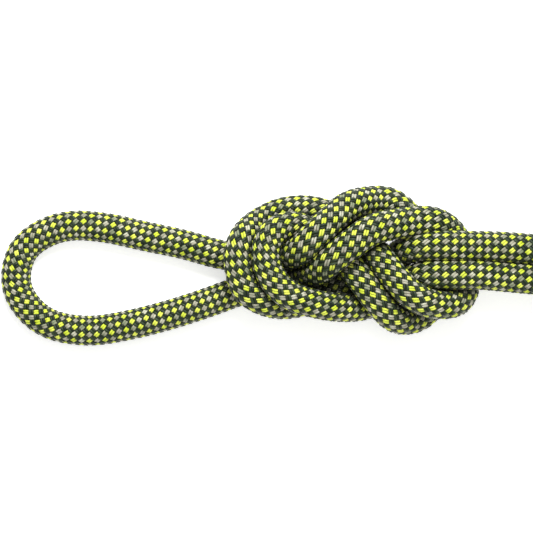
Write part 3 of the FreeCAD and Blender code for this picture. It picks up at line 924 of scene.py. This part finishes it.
# ------------------------------------------------------------------ webbing ties
def band_line(inner_r, outer_r, low, high, bend, step):
    """A rounded rectangle in (radius, height), counter-clockwise seen with radius to the right, from the middle of
    the top."""
    pts = []
    cx0, cx1, cz0, cz1 = inner_r + bend, outer_r - bend, low + bend, high - bend
    mid = (inner_r + outer_r) / 2

    def line(a, b):
        m = max(1, int(math.dist(a, b) / step))
        for i in range(m):
            f = i / m
            pts.append((a[0] + (b[0] - a[0]) * f, a[1] + (b[1] - a[1]) * f))

    def arc(c, a0, a1):
        m = 12
        for i in range(m):
            a = math.radians(a0 + (a1 - a0) * i / m)
            pts.append((c[0] + bend * math.cos(a), c[1] + bend * math.sin(a)))

    line((mid, high), (cx0, high))
    arc((cx0, cz1), 90, 180)
    line((inner_r, cz1), (inner_r, cz0))
    arc((cx0, cz0), 180, 270)
    line((cx0, low), (cx1, low))
    arc((cx1, cz0), 270, 360)
    line((outer_r, cz0), (outer_r, cz1))
    arc((cx1, cz1), 0, 90)
    line((cx1, high), (mid, high))
    return np.array(pts)


def strip(name, loop, closed, angle, width, thick, mat, wave=0.0, lift=None):
    """Webbing along a line in the (radius, height) plane of the coil at this angle, with its own thickness, rounded
    selvages and rows of ribs."""
    m = len(loop)
    nxt = np.roll(loop, -1, 0) if closed else np.vstack([loop[1:], 2 * loop[-1] - loop[-2]])
    prv = np.roll(loop, 1, 0) if closed else np.vstack([2 * loop[0] - loop[1], loop[:-1]])
    tang = nxt - prv
    tang /= np.linalg.norm(tang, axis=1)[:, None]
    out = np.stack([tang[:, 1], -tang[:, 0]], -1)          # away from the coil, the loop runs counter-clockwise
    prof = []
    cols = 15
    for q in range(cols):
        x = -1 + 2 * q / (cols - 1)
        edge = 1 - abs(x) ** 14
        prof.append((x * width / 2, thick * (0.5 + 0.5 * edge) + (0.05 if q % 2 else 0.0)))
    for q in range(cols):
        x = 1 - 2 * q / (cols - 1)
        prof.append((x * width / 2 * 0.995, thick * 0.5 * (abs(x) ** 14)))
    prof = np.array(prof)
    sides = len(prof)
    ca, sa = math.cos(math.radians(angle)), math.sin(math.radians(angle))
    length = np.r_[0.0, np.cumsum(np.linalg.norm(np.diff(loop, axis=0), axis=1))]
    bulge = wave * np.sin(length * 2 * math.pi / 10.1)
    up = bulge + (0.0 if lift is None else lift(length))
    r = loop[:, 0][:, None] + out[:, 0][:, None] * (prof[:, 1][None, :] + np.broadcast_to(up, (m,))[:, None])
    z = loop[:, 1][:, None] + out[:, 1][:, None] * (prof[:, 1][None, :] + np.broadcast_to(up, (m,))[:, None])
    side = np.broadcast_to(prof[:, 0][None, :], (m, sides))
    x = CX + r * ca - side * sa
    y = CY + r * sa + side * ca
    v = np.stack([x, y, z], -1).reshape(-1, 3) / 1000
    f, across, along = grid(m, sides)
    f = f[:, ::-1]
    uv = np.stack([across[:, ::-1] * (2 * width + 2 * thick) / 1000, length[along[:, ::-1]] / 1000], -1)
    if closed:
        j = np.arange(sides)
        k = (j + 1) % sides
        last = (m - 1) * sides
        f = np.vstack([f, np.stack([last + j, j, k, last + k], -1)])
        uv = np.concatenate([uv, np.stack([np.stack([j, j, j + 1, j + 1], -1) * (2 * width + 2 * thick) / 1000 / sides,
                                           np.full((sides, 4), length[-1] / 1000)], -1)])
    else:
        last = (m - 1) * sides
        a, b = [], []
        for q in range(cols - 1):
            w = sides - 1 - q
            a.append((q, q + 1, w - 1, w))
            b.append((last + q, last + w, last + w - 1, last + q + 1))
        f = np.vstack([f, a, b])
        uv = np.concatenate([uv, np.zeros((len(a) + len(b), 4, 2))])
    o = build(name, v, f, [mat], uv=uv)
    import bmesh
    bm = bmesh.new()
    bm.from_mesh(o.data)
    bmesh.ops.recalc_face_normals(bm, faces=bm.faces)
    bm.to_mesh(o.data)
    bm.free()
    return o


def join(objects, name):
    """One object of several, each keeping its materials."""
    with bpy.context.temp_override(active_object=objects[0], selected_editable_objects=objects,
                                   selected_objects=objects, object=objects[0]):
        bpy.ops.object.join()
    objects[0].name = name
    return objects[0]


IN_R, OUT_R = COIL_R - 35.6, COIL_R + 35.6
for q, angle in enumerate((95.0, 215.0, 335.0)):
    loop = band_line(IN_R, OUT_R, 1.65, 63.1, 8.2, 1.6)
    band = strip("webbing_tie_%d" % (q + 1), loop, True, angle, 22.0, 1.5, WEBBING)
    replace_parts(band, "coil_tie_%d" % (q + 1))
    # the free end laps over the top and down the outside, on a hook patch a little narrower than the webbing
    top = len(loop) - int(27 / 1.6)
    over = band_line(IN_R - 1.6, OUT_R + 1.6, 0.0, 64.7, 9.8, 1.6)
    half = len(over) // 2
    lap = over[int(len(over) * 0.70):]
    lap = np.vstack([lap, over[:8]])
    flap = strip("webbing_tie_%d_lap" % (q + 1), lap, False, angle, 20.6, 1.3, HOOK)
    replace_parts(flap, "coil_tie_%d" % (q + 1))


# ------------------------------------------------------------------ core strands, each of three plies, and the tracer
def strands(name, s0, s1, plies, mat, step=0.0022, sides=5):
    """Tubes inside the rope between lengths s0 and s1. A ply is (distance from the middle of its strand, angle,
    lay, radius, distance of the strand from the rope's middle, its angle)."""
    m = int(round((s1 - s0) / step)) + 1
    s = np.linspace(s0, s1, m)
    p, t, n, b = at(s)
    f0, across, along = grid(m, sides)
    top = (m - 1) * sides
    verts, faces, uvs = [], [], []
    theta = np.arange(sides) * 2 * math.pi / sides
    for q, (off, angle, lay, radius, pitch, where) in enumerate(plies):
        turn = angle + (s * 2 * math.pi / lay if lay else 0.0)
        x = pitch * math.cos(where) + off * np.cos(turn)
        y = pitch * math.sin(where) + off * np.sin(turn)
        c = p + n * np.reshape(x, (-1, 1)) + b * np.reshape(y, (-1, 1))
        ring = c[:, None] + radius * (n[:, None] * np.cos(theta)[None, :, None] + b[:, None] * np.sin(theta)[None, :, None])
        base = q * (m * sides + 2)
        verts += [ring.reshape(-1, 3), c[:1], c[-1:]]
        first, last = m * sides, m * sides + 1
        tri = []
        for j in range(sides):
            k = (j + 1) % sides
            tri.append((first, k, j))
            tri.append((last, top + j, top + k))
        quad = np.vstack([f0[:, [0, 1, 2]], f0[:, [0, 2, 3]]])
        faces.append(np.vstack([quad, tri]) + base)
        uu = np.stack([across, s[along]], -1)
        uvs.append(np.concatenate([uu[:, [0, 1, 2]], uu[:, [0, 2, 3]], np.zeros((2 * sides, 3, 2))]))
    o = build(name, np.concatenate(verts), np.concatenate(faces), [mat], uv=np.concatenate(uvs))
    return o


PLY = [(0.00058, 2 * math.pi * q / 3, 0.011, 0.00053) for q in range(3)]
S_CORE = S_ROUTE - 0.002
CENTRE = [(off, a, lay, rad, 0.0, 0.0) for off, a, lay, rad in PLY]
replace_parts(strands("strand_centre", 0.0005, S_CORE, CENTRE, CORE), "core_strand_centre")
OUTER = []
for q in range(6):
    plies = [(off, a, lay, rad, 0.00242, math.radians(60 * q)) for off, a, lay, rad in PLY]
    OUTER += plies
    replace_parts(strands("strand_%d" % (q + 1), 0.0005, S_CORE, plies, CORE), "core_strand_%d" % (q + 1))
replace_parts(strands("strands_far_end", S_BRAID_END + 0.002, LENGTH - 0.0005, CENTRE + OUTER, CORE), "core_far_end")
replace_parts(strands("tracer", 0.0005, S_CORE, [(0.0, 0.0, 0.0, 0.0003, 0.0033, math.radians(30))], TRACER, 0.0022, 6),
            "tracer_yarn")

[tuple(map(float, q)) for q in at(np.linspace(0.0, LENGTH, 7001))[0]]
